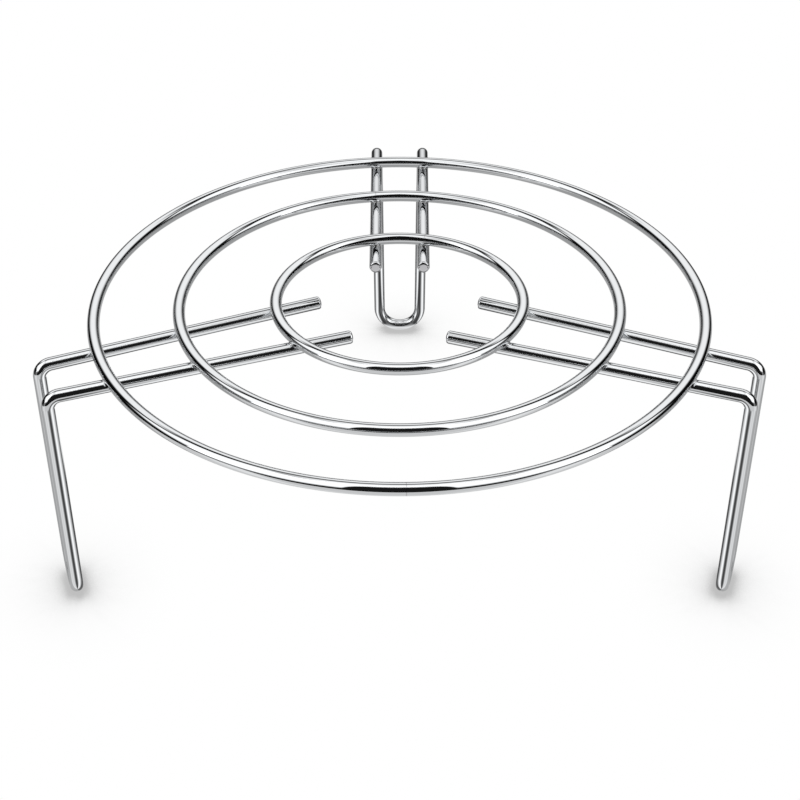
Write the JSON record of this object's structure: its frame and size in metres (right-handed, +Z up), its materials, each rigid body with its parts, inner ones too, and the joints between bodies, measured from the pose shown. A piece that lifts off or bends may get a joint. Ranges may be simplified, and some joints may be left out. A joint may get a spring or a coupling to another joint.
{
  "type": "pot stand",
  "caption": "Round pot stand of chromed round wire: concentric rings welded on hairpin legs, to hold a pot or bowl up off a hot or wet surface.",
  "frame": {"origin": "on the rings' common axis, at the level of the floor that the feet stand on", "axes": "+Z up along the rings' axis; +Y out along the rear leg; +X to the right-hand front leg's side, seen from the front"},
  "size_m": [0.2774, 0.2665, 0.1075],
  "materials": {
    "chromed_wire": "bright chrome plate on drawn steel wire, mirror smooth"
  },
  "bodies": {
    "root": {"outer_ring": "chromed_wire", "middle_ring": "chromed_wire", "inner_ring": "chromed_wire", "rear_leg": "chromed_wire", "left_leg": "chromed_wire", "right_leg": "chromed_wire"}
  },
  "joints": []
}
